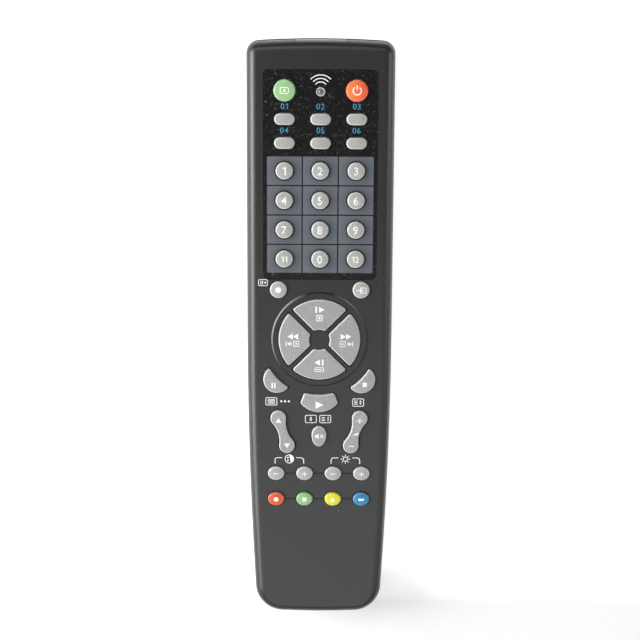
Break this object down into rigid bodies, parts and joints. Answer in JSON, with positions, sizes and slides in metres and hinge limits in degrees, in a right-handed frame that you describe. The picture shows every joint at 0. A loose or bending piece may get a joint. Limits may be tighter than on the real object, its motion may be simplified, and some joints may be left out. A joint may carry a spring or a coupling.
{
  "type": "remote control",
  "caption": "Slim hand-held infrared remote control with a four-way pad, rows of sprung keys, two rockers and a sliding battery cover.",
  "frame": {"origin": "on the rest plane under the middle of the case", "axes": "+Z out of the key face, +Y towards the infrared end, +X to the right seen from the key side"},
  "size_m": [0.05, 0.2, 0.0224],
  "materials": {
    "case_plastic": "fine satin grain",
    "fascia_black": "grained black",
    "tile_blue_grey": "satin",
    "window_dark": "polished, dark tinted",
    "emitter_clear": "clear tinted",
    "lamp_dark": "polished",
    "ring_grey": "satin",
    "mat_rubber": "matt silicone",
    "board_green": "solder mask",
    "carbon": "printed carbon",
    "chip_black": "moulded",
    "cell_wrap": "plain wrap",
    "contact_steel": "plated",
    "key_grey": "satin silicone",
    "key_green_plastic": "satin silicone",
    "key_red_plastic": "satin silicone",
    "key_yellow_plastic": "satin silicone",
    "key_blue_plastic": "satin silicone"
  },
  "bodies": {
    "remote": {"top_case": "case_plastic", "bottom_case": "case_plastic", "fascia_panel": "fascia_black", "number_tiles": "tile_blue_grey", "ir_window": "window_dark", "ir_emitters": "emitter_clear", "indicator_lamp": "lamp_dark", "indicator_ring": "ring_grey", "keypad_mat": "mat_rubber", "circuit_board": "board_green", "contact_pads": "carbon", "controller_chip": "chip_black", "board_parts": "chip_black", "cell_left": "cell_wrap", "cell_right": "cell_wrap", "battery_contacts": "contact_steel", "battery_springs": "contact_steel", "case_screws": "contact_steel"},
    "battery_cover": {"battery_cover": "case_plastic"},
    "key_set": {"key_set": "key_green_plastic"},
    "key_power": {"key_power": "key_red_plastic"},
    "key_device_1": {"key_device_1": "key_grey"},
    "key_device_2": {"key_device_2": "key_grey"},
    "key_device_3": {"key_device_3": "key_grey"},
    "key_device_4": {"key_device_4": "key_grey"},
    "key_device_5": {"key_device_5": "key_grey"},
    "key_device_6": {"key_device_6": "key_grey"},
    "key_number_1": {"key_number_1": "key_grey"},
    "key_number_2": {"key_number_2": "key_grey"},
    "key_number_3": {"key_number_3": "key_grey"},
    "key_number_4": {"key_number_4": "key_grey"},
    "key_number_5": {"key_number_5": "key_grey"},
    "key_number_6": {"key_number_6": "key_grey"},
    "key_number_7": {"key_number_7": "key_grey"},
    "key_number_8": {"key_number_8": "key_grey"},
    "key_number_9": {"key_number_9": "key_grey"},
    "key_number_10": {"key_number_10": "key_grey"},
    "key_number_11": {"key_number_11": "key_grey"},
    "key_number_12": {"key_number_12": "key_grey"},
    "key_record": {"key_record": "key_grey"},
    "key_source": {"key_source": "key_grey"},
    "key_pad_up": {"key_pad_up": "key_grey"},
    "key_pad_left": {"key_pad_left": "key_grey"},
    "key_pad_down": {"key_pad_down": "key_grey"},
    "key_pad_right": {"key_pad_right": "key_grey"},
    "key_pause": {"key_pause": "key_grey"},
    "key_stop": {"key_stop": "key_grey"},
    "key_play": {"key_play": "key_grey"},
    "key_mute": {"key_mute": "key_grey"},
    "key_tint_down": {"key_tint_down": "key_grey"},
    "key_tint_up": {"key_tint_up": "key_grey"},
    "key_light_down": {"key_light_down": "key_grey"},
    "key_light_up": {"key_light_up": "key_grey"},
    "key_red": {"key_red": "key_red_plastic"},
    "key_green": {"key_green": "key_green_plastic"},
    "key_yellow": {"key_yellow": "key_yellow_plastic"},
    "key_blue": {"key_blue": "key_blue_plastic"},
    "key_channel": {"key_channel": "key_grey"},
    "key_volume": {"key_volume": "key_grey"}
  },
  "joints": [
    {"name": "battery_cover_slide", "type": "slide", "parent": "remote", "child": "battery_cover", "axis": [0, -1, 0], "range_m": [0, 0.07]},
    {"name": "key_set_press", "type": "slide", "parent": "remote", "child": "key_set", "axis": [0, 0, -1], "range_m": [0, 0.001], "stiffness_N_per_m": 600},
    {"name": "key_power_press", "type": "slide", "parent": "remote", "child": "key_power", "axis": [0, 0, -1], "range_m": [0, 0.001], "stiffness_N_per_m": 600},
    {"name": "key_device_1_press", "type": "slide", "parent": "remote", "child": "key_device_1", "axis": [0, 0, -1], "range_m": [0, 0.001], "stiffness_N_per_m": 600},
    {"name": "key_device_2_press", "type": "slide", "parent": "remote", "child": "key_device_2", "axis": [0, 0, -1], "range_m": [0, 0.001], "stiffness_N_per_m": 600},
    {"name": "key_device_3_press", "type": "slide", "parent": "remote", "child": "key_device_3", "axis": [0, 0, -1], "range_m": [0, 0.001], "stiffness_N_per_m": 600},
    {"name": "key_device_4_press", "type": "slide", "parent": "remote", "child": "key_device_4", "axis": [0, 0, -1], "range_m": [0, 0.001], "stiffness_N_per_m": 600},
    {"name": "key_device_5_press", "type": "slide", "parent": "remote", "child": "key_device_5", "axis": [0, 0, -1], "range_m": [0, 0.001], "stiffness_N_per_m": 600},
    {"name": "key_device_6_press", "type": "slide", "parent": "remote", "child": "key_device_6", "axis": [0, 0, -1], "range_m": [0, 0.001], "stiffness_N_per_m": 600},
    {"name": "key_number_1_press", "type": "slide", "parent": "remote", "child": "key_number_1", "axis": [0, 0, -1], "range_m": [0, 0.001], "stiffness_N_per_m": 600},
    {"name": "key_number_2_press", "type": "slide", "parent": "remote", "child": "key_number_2", "axis": [0, 0, -1], "range_m": [0, 0.001], "stiffness_N_per_m": 600},
    {"name": "key_number_3_press", "type": "slide", "parent": "remote", "child": "key_number_3", "axis": [0, 0, -1], "range_m": [0, 0.001], "stiffness_N_per_m": 600},
    {"name": "key_number_4_press", "type": "slide", "parent": "remote", "child": "key_number_4", "axis": [0, 0, -1], "range_m": [0, 0.001], "stiffness_N_per_m": 600},
    {"name": "key_number_5_press", "type": "slide", "parent": "remote", "child": "key_number_5", "axis": [0, 0, -1], "range_m": [0, 0.001], "stiffness_N_per_m": 600},
    {"name": "key_number_6_press", "type": "slide", "parent": "remote", "child": "key_number_6", "axis": [0, 0, -1], "range_m": [0, 0.001], "stiffness_N_per_m": 600},
    {"name": "key_number_7_press", "type": "slide", "parent": "remote", "child": "key_number_7", "axis": [0, 0, -1], "range_m": [0, 0.001], "stiffness_N_per_m": 600},
    {"name": "key_number_8_press", "type": "slide", "parent": "remote", "child": "key_number_8", "axis": [0, 0, -1], "range_m": [0, 0.001], "stiffness_N_per_m": 600},
    {"name": "key_number_9_press", "type": "slide", "parent": "remote", "child": "key_number_9", "axis": [0, 0, -1], "range_m": [0, 0.001], "stiffness_N_per_m": 600},
    {"name": "key_number_10_press", "type": "slide", "parent": "remote", "child": "key_number_10", "axis": [0, 0, -1], "range_m": [0, 0.001], "stiffness_N_per_m": 600},
    {"name": "key_number_11_press", "type": "slide", "parent": "remote", "child": "key_number_11", "axis": [0, 0, -1], "range_m": [0, 0.001], "stiffness_N_per_m": 600},
    {"name": "key_number_12_press", "type": "slide", "parent": "remote", "child": "key_number_12", "axis": [0, 0, -1], "range_m": [0, 0.001], "stiffness_N_per_m": 600},
    {"name": "key_record_press", "type": "slide", "parent": "remote", "child": "key_record", "axis": [0, 0, -1], "range_m": [0, 0.001], "stiffness_N_per_m": 600},
    {"name": "key_source_press", "type": "slide", "parent": "remote", "child": "key_source", "axis": [0, 0, -1], "range_m": [0, 0.001], "stiffness_N_per_m": 600},
    {"name": "key_pad_up_press", "type": "slide", "parent": "remote", "child": "key_pad_up", "axis": [0, 0, -1], "range_m": [0, 0.001], "stiffness_N_per_m": 600},
    {"name": "key_pad_left_press", "type": "slide", "parent": "remote", "child": "key_pad_left", "axis": [0, 0, -1], "range_m": [0, 0.001], "stiffness_N_per_m": 600},
    {"name": "key_pad_down_press", "type": "slide", "parent": "remote", "child": "key_pad_down", "axis": [0, 0, -1], "range_m": [0, 0.001], "stiffness_N_per_m": 600},
    {"name": "key_pad_right_press", "type": "slide", "parent": "remote", "child": "key_pad_right", "axis": [0, 0, -1], "range_m": [0, 0.001], "stiffness_N_per_m": 600},
    {"name": "key_pause_press", "type": "slide", "parent": "remote", "child": "key_pause", "axis": [0, 0, -1], "range_m": [0, 0.001], "stiffness_N_per_m": 600},
    {"name": "key_stop_press", "type": "slide", "parent": "remote", "child": "key_stop", "axis": [0, 0, -1], "range_m": [0, 0.001], "stiffness_N_per_m": 600},
    {"name": "key_play_press", "type": "slide", "parent": "remote", "child": "key_play", "axis": [0, 0, -1], "range_m": [0, 0.001], "stiffness_N_per_m": 600},
    {"name": "key_mute_press", "type": "slide", "parent": "remote", "child": "key_mute", "axis": [0, 0, -1], "range_m": [0, 0.001], "stiffness_N_per_m": 600},
    {"name": "key_tint_down_press", "type": "slide", "parent": "remote", "child": "key_tint_down", "axis": [0, 0, -1], "range_m": [0, 0.001], "stiffness_N_per_m": 600},
    {"name": "key_tint_up_press", "type": "slide", "parent": "remote", "child": "key_tint_up", "axis": [0, 0, -1], "range_m": [0, 0.001], "stiffness_N_per_m": 600},
    {"name": "key_light_down_press", "type": "slide", "parent": "remote", "child": "key_light_down", "axis": [0, 0, -1], "range_m": [0, 0.001], "stiffness_N_per_m": 600},
    {"name": "key_light_up_press", "type": "slide", "parent": "remote", "child": "key_light_up", "axis": [0, 0, -1], "range_m": [0, 0.001], "stiffness_N_per_m": 600},
    {"name": "key_red_press", "type": "slide", "parent": "remote", "child": "key_red", "axis": [0, 0, -1], "range_m": [0, 0.001], "stiffness_N_per_m": 600},
    {"name": "key_green_press", "type": "slide", "parent": "remote", "child": "key_green", "axis": [0, 0, -1], "range_m": [0, 0.001], "stiffness_N_per_m": 600},
    {"name": "key_yellow_press", "type": "slide", "parent": "remote", "child": "key_yellow", "axis": [0, 0, -1], "range_m": [0, 0.001], "stiffness_N_per_m": 600},
    {"name": "key_blue_press", "type": "slide", "parent": "remote", "child": "key_blue", "axis": [0, 0, -1], "range_m": [0, 0.001], "stiffness_N_per_m": 600},
    {"name": "key_channel_tip", "type": "hinge", "parent": "remote", "child": "key_channel", "pos_m": [-0.0125, -0.0332, 0.0182], "axis": [0.9548, 0.2974, 0], "range_deg": [-4, 4], "stiffness_Nm_per_rad": 0.07},
    {"name": "key_volume_tip", "type": "hinge", "parent": "remote", "child": "key_volume", "pos_m": [0.0125, -0.0332, 0.0182], "axis": [0.9548, -0.2974, 0], "range_deg": [-4, 4], "stiffness_Nm_per_rad": 0.07}
  ]
}
